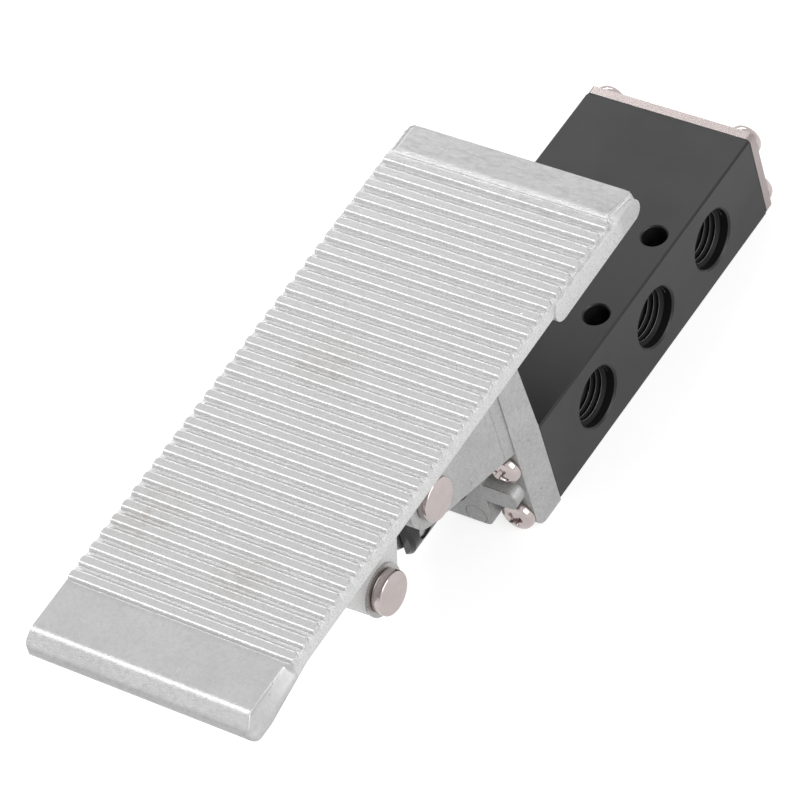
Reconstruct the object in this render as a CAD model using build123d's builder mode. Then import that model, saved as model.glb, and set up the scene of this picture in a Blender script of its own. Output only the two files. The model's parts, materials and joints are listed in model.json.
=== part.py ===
"""Foot pedal air valve: a five-port spool valve worked by a ribbed treadle through a short link.

Millimetres, +Z up, +Y towards the end cover. The origin is the centre of the valve body's underside.
"""
import os
from math import cos, radians, sin, sqrt, tan

from build123d import *

os.makedirs("parts", exist_ok=True)

# Clearances
running_gap = 0.05
fixed_gap = 0.02
loose_gap = 0.3
side_gap = 0.5
slot_gap = 0.2

# Valve body
body_width = 40.0
body_height = 22.0
body_length = 83.0
body_edge_chamfer = 0.4
axis_height = 11.0
bore_radius = 6.25
gallery_radius = 7.5
gallery_width = 5.0

# Ports, G1/4 threads modelled at their major diameter
port_pitch = 23.0
port_radius = 6.58
port_depth = 11.0
port_chamfer = 0.4
passage_radius = 3.5

# Mounting holes, upright through the body
mounting_hole_radius = 2.75
mounting_hole_from_axis = 15.0
mounting_hole_chamfer = 0.3

# End screws, M4 with small pan heads
screw_radius = 2.0
screw_head_radius = 3.7
screw_head_height = 2.6
screw_rim_height = 1.3
screw_crown_radius = 1.9
screw_from_axis = 16.5
screw_row_spacing = 14.2
screw_grip = 8.0
screw_hole_spare = 1.0
recess_length = 3.6
recess_width = 0.9
recess_depth = 1.2
clearance_hole_radius = 2.25

# Plates at the body's ends
gasket_thickness = 0.5
cover_thickness = 2.0
cover_corner_radius = 1.0

# Front bracket
bracket_half_width = 20.2
flange_depth = 8.35
flange_foot_radius = 3.0
block_height = 23.5
cheek_thickness = 4.7
cheek_lean = 1.6
cheek_crown_depth = 11.0
back_wall_thickness = 3.5
back_wall_height = 38.0
pad_thickness = 3.25
pad_half_width = 11.6
pad_half_height = 10.4
pad_corner_radius = 2.0
tongue_half_width = 19.35
tongue_width = 4.7
arm_inset = 0.4
arm_root_height = 23.2
arm_end_radius = 6.8

# Linkage pivots, measured from the body's front face and from its underside
pivot_ahead = 34.2
pivot_height = 38.4
link_pin_ahead = 53.1
link_pin_height = 31.0
spool_pin_ahead = 24.7

# Pins
pin_radius = 3.0
pin_head_radius = 4.65
pin_head_thickness = 2.35
pin_head_chamfer = 0.25
pin_tail = 2.5
clip_radius = 5.2
clip_thickness = 0.7
clip_groove_radius = 2.4
clip_mouth = 4.0
washer_radius = 5.6
washer_thickness = 0.5
spool_pin_radius = 2.0

# Pedal, with heights measured square to its plate from the pivot pin's axis
pedal_tilt = 1.4
pedal_half_width = 27.25
pedal_front = -68.6
pedal_rear = 72.2
plate_top = 14.55
plate_thickness = 2.5
plate_side_slope = 2.25
plate_corner_radius = 2.0
rib_count = 32
rib_pitch = 3.67
rib_width = 3.3
rib_height = 0.9
rib_root = 1.7
rib_side_angle = 6.0
rib_shoulder = 0.3
rib_crown_angle = 50.0
rib_half_length = 26.5
rib_end_chamfer = 1.1
first_rib = -52.4
lip_depth = 5.1
lip_crease = 4.2
lip_drop = 3.3
lip_nose_radius = 1.7
lip_heel = 1.0
lip_heel_radius = 3.0
lip_underside = 14.9
skirt_length = 32.0
skirt_depth = 2.9
skirt_thickness = 3.0
skirt_corner_radius = 2.5
lug_thickness = 4.5
lug_outer_face = 18.8
lug_end_radius = 5.5
lug_root_front = -36.7
lug_root_rear = -5.2
boss_thickness = 5.5
boss_radius = 6.5
boss_root_half_length = 10.0
web_thickness = 2.5
web_depth = 3.0
stop_gap = 0.3

# Link
link_thickness = 5.0
link_hub_radius = 4.6
link_eye_radius = 4.2

# Spool
stem_radius = 5.5
stem_end_past_pin = 4.6
stem_chamfer = 0.8
slot_behind_pin = 7.7
waist_radius = 3.6
land_width = 3.8
land_lead = 5.0
seal_section = 1.8
front_land_from_gallery = 7.5
rear_land_from_gallery = 2.5
seat_spigot_radius = 3.0
seat_spigot_length = 2.0
seat_thickness = 1.0
seat_radius = 5.6
spring_radius = 4.6
spring_wire_radius = 0.45
spring_turns = 4.5
spring_wire_flats = 6

# Stem bushing and wiper
bushing_radius = 7.2
wiper_width = 2.4

# Places worked out from the sizes above
half_width = body_width / 2
body_front = -body_length / 2
body_rear = body_length / 2
bracket_rear = body_front - gasket_thickness
flange_front = bracket_rear - flange_depth
pad_front = flange_front - pad_thickness
cover_front = body_rear + gasket_thickness
cover_rear = cover_front + cover_thickness
cheek_inner = bracket_half_width - cheek_thickness
arm_outer = bracket_half_width - arm_inset
pivot_y = body_front - pivot_ahead
link_pin_y = body_front - link_pin_ahead
spool_pin_y = body_front - spool_pin_ahead
plate_under = plate_top - plate_thickness
lip_start = pedal_front + lip_crease
lip_end = lip_start + lip_underside
tilt = radians(pedal_tilt)
three_ports = [-port_pitch, 0, port_pitch]
two_ports = [-port_pitch / 2, port_pitch / 2]
galleries = sorted(three_ports + two_ports)
screw_spots = [
    (side * screw_from_axis, axis_height + level * screw_row_spacing / 2)
    for side in (-1, 1)
    for level in (-1, 1)
]


def front_view(y):
    """Sketch plane at y whose local axes are X and Z, facing the operator."""
    return Plane(origin=(0, y, 0), x_dir=(1, 0, 0), z_dir=(0, -1, 0))


def side_view(x):
    """Sketch plane at x whose local axes are Y and Z, facing +X."""
    return Plane(origin=(x, 0, 0), x_dir=(0, 1, 0), z_dir=(1, 0, 0))


def pedal_side_view(x):
    """Sketch plane at x along the tilted pedal, with its origin on the pivot pin's axis."""
    return Plane(origin=(x, pivot_y, pivot_height), x_dir=(0, cos(tilt), sin(tilt)), z_dir=(1, 0, 0))


def pedal_top_view(height):
    """Sketch plane parallel to the pedal's plate, at a height above the pivot pin's axis."""
    centre = (0, pivot_y - height * sin(tilt), pivot_height + height * cos(tilt))
    return Plane(origin=centre, x_dir=(1, 0, 0), z_dir=(0, -sin(tilt), cos(tilt)))


def pedal_front_view(along):
    """Sketch plane across the tilted pedal, at a distance along it from the pivot pin's axis."""
    centre = (0, pivot_y + along * cos(tilt), pivot_height + along * sin(tilt))
    return Plane(origin=centre, x_dir=(1, 0, 0), z_dir=(0, -cos(tilt), -sin(tilt)))


def pedal_spot(y, z):
    """A point in the side view, given in the pedal's own tilted axes."""
    along, up = y - pivot_y, z - pivot_height
    return along * cos(tilt) + up * sin(tilt), up * cos(tilt) - along * sin(tilt)


def stop_height(y):
    """Height of the bracket's crown at y, just under the resting pedal's plate."""
    return pivot_height + (plate_under - stop_gap) / cos(tilt) + (y - pivot_y) * tan(tilt)


def screw_planes(y, facing):
    """Seats for the four screws at one end of the body; facing is -1 for the front, 1 for the rear."""
    return [Plane(origin=(x, y, z), x_dir=(1, 0, 0), z_dir=(0, facing, 0)) for x, z in screw_spots]


def save(piece, name):
    """Labels a finished piece and writes it to its own file."""
    piece.part.label = name
    export_step(piece.part, f"parts/{name}.step")


# Valve body
with BuildPart() as valve_body:
    Box(body_width, body_length, body_height, align=(Align.CENTER, Align.CENTER, Align.MIN))
    chamfer(valve_body.edges().filter_by(Axis.Y), body_edge_chamfer)
    with BuildSketch(front_view(body_front)):
        with Locations((0, axis_height)):
            Circle(bore_radius)
    extrude(amount=-body_length, mode=Mode.SUBTRACT)
    for gallery in galleries:
        with BuildSketch(front_view(gallery - gallery_width / 2)):
            with Locations((0, axis_height)):
                Circle(gallery_radius)
        extrude(amount=-gallery_width, mode=Mode.SUBTRACT)
    port_mouths = [Plane(origin=(half_width, y, axis_height), z_dir=(1, 0, 0)) for y in three_ports]
    port_mouths += [Plane(origin=(-half_width, y, axis_height), z_dir=(-1, 0, 0)) for y in two_ports]
    with Locations(*port_mouths):
        CounterBoreHole(passage_radius, port_radius, port_depth, depth=half_width)
    with Locations(*[(mounting_hole_from_axis, y, body_height) for y in two_ports]):
        Hole(mounting_hole_radius, depth=body_height)
    with Locations(*screw_planes(body_front, -1), *screw_planes(body_rear, 1)):
        Hole(screw_radius + fixed_gap, depth=screw_grip + screw_hole_spare)
    sides = valve_body.faces().filter_by(Plane.YZ).sort_by(Axis.X)
    mouths = [sides[0].edges(), sides[-1].edges()]
    for edges in mouths:
        chamfer(edges.filter_by(GeomType.CIRCLE), port_chamfer)
    lids = valve_body.faces().filter_by(Plane.XY).sort_by(Axis.Z)
    for lid in (lids[0], lids[-1]):
        chamfer(lid.edges().filter_by(GeomType.CIRCLE), mounting_hole_chamfer)
save(valve_body, "valve_body")

# Gaskets and end cover, which share one outline
for name, start in (("front_gasket", body_front), ("rear_gasket", cover_front)):
    with BuildPart() as gasket:
        with BuildSketch(front_view(start)):
            with Locations((0, axis_height)):
                RectangleRounded(body_width, body_height, cover_corner_radius)
            with Locations((0, axis_height)):
                Circle(bore_radius, mode=Mode.SUBTRACT)
            with Locations(*screw_spots):
                Circle(clearance_hole_radius, mode=Mode.SUBTRACT)
        extrude(amount=gasket_thickness)
    save(gasket, name)

with BuildPart() as end_cover:
    with BuildSketch(front_view(cover_rear)):
        with Locations((0, axis_height)):
            RectangleRounded(body_width, body_height, cover_corner_radius)
        with Locations(*screw_spots):
            Circle(clearance_hole_radius, mode=Mode.SUBTRACT)
    extrude(amount=cover_thickness)
save(end_cover, "end_cover")


def pan_screw(grip):
    """One pan-head screw along Z, with its head's underside at zero and a cross recess."""
    with BuildPart() as screw:
        with BuildSketch(Plane.XZ):
            with BuildLine():
                Polyline(
                    (screw_crown_radius, screw_head_height),
                    (0, screw_head_height),
                    (0, -grip),
                    (screw_radius, -grip),
                    (screw_radius, 0),
                    (screw_head_radius, 0),
                    (screw_head_radius, screw_rim_height),
                )
                RadiusArc(
                    (screw_head_radius, screw_rim_height),
                    (screw_crown_radius, screw_head_height),
                    -screw_head_height,
                )
            make_face()
        revolve(axis=Axis.Z)
        with BuildSketch(Plane.XY.offset(screw_head_height)):
            Rectangle(recess_length, recess_width)
            Rectangle(recess_width, recess_length)
        extrude(amount=-recess_depth, mode=Mode.SUBTRACT)
    return screw.part


bracket_screw = pan_screw(flange_depth + gasket_thickness + screw_grip)
with BuildPart() as bracket_screws:
    with Locations(*screw_planes(flange_front, -1)):
        add(bracket_screw)
save(bracket_screws, "bracket_screws")

cover_screw = pan_screw(cover_thickness + gasket_thickness + screw_grip)
with BuildPart() as end_cover_screws:
    with Locations(*screw_planes(cover_rear, 1)):
        add(cover_screw)
save(end_cover_screws, "end_cover_screws")

# Front bracket: block, cheeks with a leaning rear edge, two arms, back wall and front pad
with BuildPart() as front_bracket:
    crown_rear = bracket_rear - cheek_lean
    crown_front = crown_rear - cheek_crown_depth
    with BuildSketch(side_view(0)) as block_outline:
        with BuildLine():
            Polyline(
                (bracket_rear, 0),
                (bracket_rear, block_height),
                (flange_front, block_height),
                (flange_front, 0),
                close=True,
            )
        make_face()
        foot = block_outline.vertices().group_by(Axis.X)[0].sort_by(Axis.Y)[0]
        fillet(foot, flange_foot_radius)
    extrude(amount=bracket_half_width, both=True)
    with BuildSketch(side_view(0)):
        with BuildLine():
            Polyline(
                (bracket_rear, axis_height),
                (bracket_rear, body_height),
                (crown_rear, stop_height(crown_rear)),
                (flange_front, stop_height(flange_front)),
                (flange_front, axis_height),
                close=True,
            )
        make_face()
    extrude(amount=bracket_half_width, both=True)
    with BuildSketch(side_view(0)):
        Polygon(
            (flange_front, arm_root_height),
            (bracket_rear - cheek_lean, arm_root_height),
            (crown_rear, stop_height(crown_rear)),
            (crown_front, stop_height(crown_front)),
            align=None,
        )
        with Locations((pivot_y, pivot_height)):
            Circle(arm_end_radius)
        make_hull()
    extrude(amount=arm_outer, both=True)
    with BuildSketch(side_view(0)):
        with BuildLine():
            Polyline(
                (bracket_rear - back_wall_thickness, block_height),
                (bracket_rear - back_wall_thickness, back_wall_height),
                (bracket_rear + side_gap, back_wall_height),
                (bracket_rear + side_gap, stop_height(body_front)),
                (pivot_y - arm_end_radius - side_gap, stop_height(body_front)),
                (pivot_y - arm_end_radius - side_gap, block_height),
                close=True,
            )
        make_face()
    extrude(amount=cheek_inner, both=True, mode=Mode.SUBTRACT)
    with BuildSketch(front_view(flange_front)):
        with Locations((0, axis_height)):
            RectangleRounded(2 * pad_half_width, 2 * pad_half_height, pad_corner_radius)
            SlotOverall(2 * tongue_half_width, tongue_width)
    extrude(amount=pad_thickness)
    with BuildSketch(front_view(pad_front)):
        with Locations((0, axis_height)):
            Circle(bushing_radius + fixed_gap)
    extrude(amount=pad_front - bracket_rear, mode=Mode.SUBTRACT)
    with BuildSketch(side_view(0)):
        with Locations((pivot_y, pivot_height)):
            Circle(pin_radius + fixed_gap)
    extrude(amount=bracket_half_width, both=True, mode=Mode.SUBTRACT)
    with Locations(*screw_planes(flange_front, -1)):
        Hole(clearance_hole_radius, depth=flange_depth)
save(front_bracket, "front_bracket")

# Stem bushing and wiper, one behind the other in the bracket's bore
for name, start, end in (
    ("stem_bushing", pad_front + wiper_width, bracket_rear),
    ("stem_wiper", pad_front, pad_front + wiper_width),
):
    with BuildPart() as ring:
        with BuildSketch(front_view(start)):
            with Locations((0, axis_height)):
                Circle(bushing_radius)
                Circle(stem_radius + running_gap, mode=Mode.SUBTRACT)
        extrude(amount=start - end)
    save(ring, name)

# Spool: stem, lands and waists in one turned piece, with a slotted and cross-drilled stem end
front_land = galleries[0] - gallery_width - front_land_from_gallery + gallery_width / 2
rear_land = galleries[-1] + gallery_width / 2 + rear_land_from_gallery
closing_lands = [galleries[number] + port_pitch / 4 - land_lead for number in (0, 2)]
open_lands = [galleries[number] - port_pitch / 4 for number in (2, 4)]
lands = sorted([front_land, rear_land] + closing_lands + open_lands)
land_radius = bore_radius - running_gap
groove_floor = land_radius - seal_section + fixed_gap
stem_end = spool_pin_y - stem_end_past_pin
spool_rear = rear_land + land_width / 2

with BuildPart() as spool:
    with BuildSketch(front_view(stem_end)):
        with Locations((0, axis_height)):
            Circle(stem_radius)
    extrude(amount=stem_end - lands[0])
    chamfer(spool.edges().sort_by(Axis.Y)[0], stem_chamfer)
    with BuildSketch(front_view(lands[0])):
        with Locations((0, axis_height)):
            Circle(waist_radius)
    extrude(amount=lands[0] - spool_rear)
    with BuildSketch(front_view(spool_rear)):
        with Locations((0, axis_height)):
            Circle(seat_spigot_radius)
    extrude(amount=-seat_spigot_length)
    for land in lands:
        with BuildSketch(front_view(land - land_width / 2)):
            with Locations((0, axis_height)):
                Circle(land_radius)
        extrude(amount=-land_width)
        with BuildSketch(front_view(land - seal_section / 2 - fixed_gap)):
            with Locations((0, axis_height)):
                Circle(land_radius)
                Circle(groove_floor, mode=Mode.SUBTRACT)
        extrude(amount=-(seal_section + 2 * fixed_gap), mode=Mode.SUBTRACT)
    with BuildSketch(side_view(0)):
        with Locations(((stem_end + spool_pin_y + slot_behind_pin) / 2, axis_height)):
            Rectangle(spool_pin_y + slot_behind_pin - stem_end, body_height)
    extrude(amount=link_thickness / 2 + slot_gap, both=True, mode=Mode.SUBTRACT)
    with BuildSketch(side_view(0)):
        with Locations((spool_pin_y, axis_height)):
            Circle(spool_pin_radius + fixed_gap)
    extrude(amount=stem_radius, both=True, mode=Mode.SUBTRACT)
save(spool, "spool")

for number, land in enumerate(lands, start=1):
    with BuildPart() as seal:
        with BuildSketch(Plane.YZ):
            with Locations((land, axis_height + groove_floor + (seal_section + fixed_gap) / 2)):
                Rectangle(seal_section, seal_section)
        revolve(axis=Axis((0, 0, axis_height), (0, 1, 0)))
    save(seal, f"spool_seal_{number}")

with BuildPart() as spool_pin:
    with BuildSketch(side_view(0)):
        with Locations((spool_pin_y, axis_height)):
            Circle(spool_pin_radius)
    extrude(amount=stem_radius - stem_chamfer, both=True)
save(spool_pin, "spool_pin")

with BuildPart() as spring_seat:
    with BuildSketch(front_view(spool_rear)):
        with Locations((0, axis_height)):
            Circle(seat_radius)
            Circle(seat_spigot_radius + fixed_gap, mode=Mode.SUBTRACT)
    extrude(amount=-seat_thickness)
save(spring_seat, "spring_seat")

spring_start = spool_rear + seat_thickness + spring_wire_radius
spring_end = cover_front - spring_wire_radius
with BuildPart() as return_spring:
    with BuildLine():
        coil = Helix(
            pitch=(spring_end - spring_start) / spring_turns,
            height=spring_end - spring_start,
            radius=spring_radius,
            center=(0, spring_start, axis_height),
            direction=(0, 1, 0),
        )
    with BuildSketch(Plane(origin=coil @ 0, z_dir=coil % 0)):
        RegularPolygon(spring_wire_radius, spring_wire_flats)
    sweep(path=coil, is_frenet=True)
save(return_spring, "return_spring")

# Pins with flat round heads on the right and retaining clips on the left
pin_seats = {
    "pivot_pin": (pivot_y, pivot_height, arm_outer, arm_outer + fixed_gap),
    "link_pin": (link_pin_y, link_pin_height, lug_outer_face, lug_outer_face + washer_thickness + fixed_gap),
}
for name, (y, z, ear, head_seat) in pin_seats.items():
    with BuildPart() as pin:
        with BuildSketch(side_view(head_seat)):
            with Locations((y, z)):
                Circle(pin_head_radius)
        extrude(amount=pin_head_thickness)
        chamfer(pin.edges().group_by(Axis.X)[-1], pin_head_chamfer)
        with BuildSketch(side_view(-ear - pin_tail)):
            with Locations((y, z)):
                Circle(pin_radius)
        extrude(amount=ear + pin_tail + head_seat)
        with BuildSketch(side_view(-ear - clip_thickness - 2 * fixed_gap)):
            with Locations((y, z)):
                Circle(pin_radius)
                Circle(clip_groove_radius, mode=Mode.SUBTRACT)
        extrude(amount=clip_thickness + fixed_gap, mode=Mode.SUBTRACT)
    save(pin, name)
    with BuildPart() as clip:
        with BuildSketch(side_view(-ear - clip_thickness - fixed_gap)):
            with Locations((y, z)):
                Circle(clip_radius)
                Circle(clip_groove_radius + fixed_gap, mode=Mode.SUBTRACT)
            with Locations((y, z - clip_radius / 2)):
                Rectangle(clip_mouth, clip_radius, mode=Mode.SUBTRACT)
        extrude(amount=clip_thickness)
    save(clip, f"{name}_clip")

with BuildPart() as link_pin_washer:
    with BuildSketch(side_view(lug_outer_face)):
        with Locations((link_pin_y, link_pin_height)):
            Circle(washer_radius)
            Circle(pin_radius + fixed_gap, mode=Mode.SUBTRACT)
    extrude(amount=washer_thickness)
save(link_pin_washer, "link_pin_washer")

# Link: a flat bar with an eye in the stem's slot and a wide hub between the pedal's lugs
with BuildPart() as link:
    with BuildSketch(side_view(0)):
        with Locations((link_pin_y, link_pin_height)):
            Circle(link_hub_radius)
        with Locations((spool_pin_y, axis_height)):
            Circle(link_eye_radius)
        make_hull()
    extrude(amount=link_thickness / 2, both=True)
    with BuildSketch(side_view(0)):
        with Locations((link_pin_y, link_pin_height)):
            Circle(link_hub_radius)
    extrude(amount=lug_outer_face - lug_thickness - side_gap, both=True)
    with BuildSketch(side_view(0)):
        with Locations((link_pin_y, link_pin_height)):
            Circle(pin_radius + running_gap)
    extrude(amount=lug_outer_face, both=True, mode=Mode.SUBTRACT)
    with BuildSketch(side_view(0)):
        with Locations((spool_pin_y, axis_height)):
            Circle(spool_pin_radius + loose_gap)
    extrude(amount=link_thickness, both=True, mode=Mode.SUBTRACT)
save(link, "link")

# Pedal: plate with a deep rounded lip, cross ribs, rear skirts, lugs, pivot bosses and webs
with BuildPart() as pedal:
    with BuildSketch(pedal_side_view(0)):
        Polygon(
            (lip_start, plate_top),
            (lip_end, plate_top),
            (lip_end, plate_under),
            align=None,
        )
        with Locations((pedal_front + lip_nose_radius, plate_top - lip_drop)):
            Circle(lip_nose_radius)
        with Locations((lip_start + lip_heel, plate_top - lip_depth + lip_heel_radius)):
            Circle(lip_heel_radius)
        make_hull()
    extrude(amount=pedal_half_width, both=True)
    with BuildSketch(pedal_top_view(plate_under)):
        with Locations((0, (lip_start + pedal_rear) / 2)):
            Rectangle(2 * pedal_half_width, pedal_rear - lip_start)
    extrude(amount=plate_thickness)
    for side in (-1, 1):
        with BuildSketch(pedal_side_view(side * (pedal_half_width - skirt_thickness / 2))):
            with Locations((pedal_rear - skirt_length / 2, plate_top - (skirt_depth + plate_thickness) / 2)):
                RectangleRounded(skirt_length, skirt_depth + plate_thickness, skirt_corner_radius)
        extrude(amount=skirt_thickness / 2, both=True)
    with BuildSketch(pedal_top_view(0)):
        with Locations((0, (pedal_front + pedal_rear) / 2)):
            RectangleRounded(2 * pedal_half_width, pedal_rear - pedal_front, plate_corner_radius)
    extrude(amount=plate_top, mode=Mode.INTERSECT)
    with BuildSketch(pedal_front_view(pedal_front)):
        Polygon(
            (-pedal_half_width, 0),
            (pedal_half_width, 0),
            (pedal_half_width, plate_under),
            (pedal_half_width - plate_side_slope, plate_top),
            (plate_side_slope - pedal_half_width, plate_top),
            (-pedal_half_width, plate_under),
            align=None,
        )
    extrude(amount=pedal_front - pedal_rear, mode=Mode.INTERSECT)
    for side in (-1, 1):
        with BuildSketch(pedal_side_view(side * (lug_outer_face - lug_thickness / 2))):
            with Locations(pedal_spot(link_pin_y, link_pin_height)):
                Circle(lug_end_radius)
            with Locations(((lug_root_front + lug_root_rear) / 2, plate_top - plate_thickness / 2)):
                Rectangle(lug_root_rear - lug_root_front, plate_thickness)
            make_hull()
        extrude(amount=lug_thickness / 2, both=True)
        with BuildSketch(pedal_side_view(side * (cheek_inner - side_gap - boss_thickness / 2))):
            Circle(boss_radius)
            with Locations((0, plate_top - plate_thickness / 2)):
                Rectangle(2 * boss_root_half_length, plate_thickness)
            make_hull()
        extrude(amount=boss_thickness / 2, both=True)
        with BuildSketch(pedal_side_view(side * (cheek_inner - side_gap - boss_thickness / 2))):
            with BuildLine():
                Polyline(
                    (lip_end, plate_top - plate_thickness / 2),
                    (lip_end, plate_under),
                    (lug_root_front, plate_under - web_depth),
                    (pedal_rear - skirt_length, plate_under - web_depth),
                    (pedal_rear - web_thickness, plate_under),
                    (pedal_rear - web_thickness, plate_top - plate_thickness / 2),
                    close=True,
                )
            make_face()
        extrude(amount=web_thickness / 2, both=True)
    with BuildSketch(pedal_side_view(0)):
        Circle(pin_radius + running_gap)
        with Locations(pedal_spot(link_pin_y, link_pin_height)):
            Circle(pin_radius + fixed_gap)
    extrude(amount=lug_outer_face, both=True, mode=Mode.SUBTRACT)
    for start, top, angle in (
        (-rib_root, rib_shoulder, rib_side_angle),
        (rib_shoulder, rib_height, rib_crown_angle),
    ):
        spread = -start * tan(radians(rib_side_angle))
        with BuildSketch(pedal_top_view(plate_top + start)) as rib_outlines:
            with Locations(*[(0, first_rib + rib_pitch * number) for number in range(rib_count)]):
                Rectangle(2 * (rib_half_length + spread), rib_width + 2 * spread)
            chamfer(rib_outlines.vertices(), rib_end_chamfer + spread * (2 - sqrt(2)))
        extrude(amount=top - start, taper=angle)
save(pedal, "pedal")
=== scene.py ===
"""Looks of the foot pedal air valve over its frame: fine castings, threads, finishes, light and camera.

Shapes are worked out in millimetres in the part's own frame and turned into metres as each mesh is made.
"""
import json
from math import cos, pi, radians, sin

import bmesh
import bpy
import numpy as np
from mathutils import Euler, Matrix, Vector


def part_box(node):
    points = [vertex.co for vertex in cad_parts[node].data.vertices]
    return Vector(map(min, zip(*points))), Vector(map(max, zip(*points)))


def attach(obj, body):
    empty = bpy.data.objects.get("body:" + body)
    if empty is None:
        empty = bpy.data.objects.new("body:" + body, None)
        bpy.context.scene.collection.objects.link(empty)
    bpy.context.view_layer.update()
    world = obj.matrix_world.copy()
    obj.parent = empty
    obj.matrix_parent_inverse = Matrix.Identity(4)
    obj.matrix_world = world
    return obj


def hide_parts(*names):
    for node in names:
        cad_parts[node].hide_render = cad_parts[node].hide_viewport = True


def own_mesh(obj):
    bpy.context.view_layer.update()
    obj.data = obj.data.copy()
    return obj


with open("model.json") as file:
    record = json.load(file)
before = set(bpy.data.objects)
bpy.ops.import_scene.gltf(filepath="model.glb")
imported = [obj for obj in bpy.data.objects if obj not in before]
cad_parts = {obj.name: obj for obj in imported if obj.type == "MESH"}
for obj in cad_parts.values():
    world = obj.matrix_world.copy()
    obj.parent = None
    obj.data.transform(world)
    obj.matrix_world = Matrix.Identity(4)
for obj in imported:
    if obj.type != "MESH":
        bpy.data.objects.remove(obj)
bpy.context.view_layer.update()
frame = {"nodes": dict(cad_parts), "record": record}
cad_nodes = frame["nodes"]

MM = 0.001

# Camera, found by matching the photograph's edges: place in metres, turn in degrees, lens in millimetres
camera_place = (0.494359, -0.524671, 0.753027)
camera_turn = (42.0645, 12.6326, 32.9309)
camera_lens = 226.468
camera_sensor = 36.0
camera_reach = 20

# Pedal, in its own tilted axes from the pivot pin: x across, u along, w square to the plate
pivot_y = -75.7
pivot_height = 38.4
pedal_tilt = radians(1.4)
pedal_half_width = 27.25
pedal_front = -68.6
pedal_rear = 72.2
plate_top = 14.55
plate_under = 12.05
least_thickness = 0.01
plan_corner = 2.0
rear_plan_corner = 1.2
plate_inset = 0.3
left_plate_inset = 0.05

# Side slopes: their widths beside the flats, beside the ribs, at the rear corner and on the left
side_slope_width = 2.25
rib_slope_width = 0.7
rear_slope_width = 0.5
left_slope_width = 0.5
slope_foot_round = 0.5
slope_top_round = 0.25
slope_change_front = 1.0
slope_change_rear = 0.8
slope_change_end = 0.5

# Lip with its crease, nose and heel
lip_start = -64.4
lip_crease = -64.95
crease_round = 0.5
crease_lift = 0.74
lip_end = -49.5
nose_radius = 1.7
nose_drop = 3.3
heel_offset = 1.0
heel_depth = 5.1
heel_radius = 3.0
lip_circle_steps = 96

# Ribs, each with its section's places along the pedal from the rib's own middle
rib_count = 32
rib_pitch = 3.67
first_rib = -51.3
rib_height = 0.9
rib_half_length = 26.6
rib_front = -1.3
rib_crown_front = -0.78
rib_round = 0.52
rib_rear = 0.95
rib_rear_slope = 1.3
rib_rear_round = 0.3
rib_foot_round = 0.24
rib_front_corner = 0.3
rib_rear_corner = 1.25
rib_rear_reach = 0.2
rib_end_slope = 12.0
rib_root = 1.2
rib_edge_round = 0.12
no_rib = -50

# Shallow groove inside the rear flat's edges
groove_inset = 0.45
groove_width = 0.22
groove_depth = 0.22
groove_start = 64.4
groove_fade = 1.5

# Grid of the plate's skin: numbers of rows and columns, and the gaps between its stretches
nose_rows = 9
nose_first_turn = 0.08
nose_gap = 0.2
lip_rows = 56
lip_gap = 0.25
rib_rows = 22
rear_gap = 0.4
rear_rows = 18
end_gap = 0.01
fine_columns = 32
fine_margin = 0.9
coarse_columns = 7

# Skirts, lugs, bosses and webs under the plate
skirt_ledge = 0.9
skirt_length = 32.0
skirt_depth = 2.9
skirt_thickness = 3.0
skirt_corner = 2.5
skirt_top_ends = (1.0, 0.8)
skirt_round = 0.15
lug_outer = 18.8
lug_thickness = 4.5
lug_end_radius = 5.5
lug_root = (-36.7, -5.2)
boss_outer = 15.0
boss_thickness = 5.5
boss_radius = 6.5
boss_root = 10.0
web_thickness = 2.5
web_depth = 3.0
web_gap = 2.5
root_overlap = 0.6
casting_round = 0.45
link_pin_y = -94.6
link_pin_height = 31.0

# Screws, as places across and up, and the turn of each cross recess in degrees
screw_spots = [(side * 16.5, 11 + level * 7.1) for side in (-1, 1) for level in (-1, 1)]
screw_turns = (8, 37, 24, 52)
screw_radius = 2.0
screw_head_radius = 3.7
screw_head_height = 2.6
screw_dome = ((1.9, 2.48), (3.35, 1.75), (screw_head_radius, 0.9))
screw_edge_round = 0.9
screw_edge_steps = 6
screw_end_gap = 0.1
screw_steps = 96
recess_reach = 2.1
recess_half_width = 0.62
recess_depth = 1.3
recess_end_slope = 1.15
recess_side_slope = 5.0
recess_rings = (0.04, 2.5, 30)

# Pins
pin_radius = 3.0
pin_head_radius = 4.65
pin_head_thickness = 2.35
pin_edge_round = 0.5
pin_steps = 96
clip_groove_radius = 2.4
clip_play = 0.1

# Bracket
bracket_edge = 0.45
pad_front = -53.6
ejector_mark = (7.7, 2.8)
ejector_radius = 2.6
ejector_edge = 0.25
ejector_depth = 0.6
ejector_reach = (0.2, 0.3)

# Ports and their threads
port_height = 11.0
body_half_width = 20.0
right_ports = {"front": -23.0, "middle": 0.0, "rear": 23.0}
left_ports = {"front": -11.5, "rear": 11.5}
thread_pitch = 1.337
thread_major = 6.6
thread_minor = 5.8
thread_start = 1.7
thread_crest = 0.04
thread_root = 0.5
thread_share = 0.98
thread_end = 10.6
thread_steps = 72
thread_run_in = 20

# Shading, cleaning and bevels of meshes, with angles in degrees
casting_smooth_angle = 60
bevel_smooth_angle = 50
turned_smooth_angle = 35
thread_smooth_angle = 20
weld_gap = 0.002
flat_angle = 0.5
bevel_angle = 25.0
bevel_segments = 3
longest_cut = 0.45

# Wear, grain and painted light on the pedal: places along it, heights above its plate, and faint rubs with
# their radii
ribbed_from = (-52.9, -52.5)
ribbed_to = (64.0, 66.0)
streaked_from = (58.0, 63.0)
lip_grain_to = (-64.4, -63.4)
# Heights over the plate below which the ribs' field gets more painted light and a stronger grain bump
painted_light_and_grain_heights = (0.62, 0.86)
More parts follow.
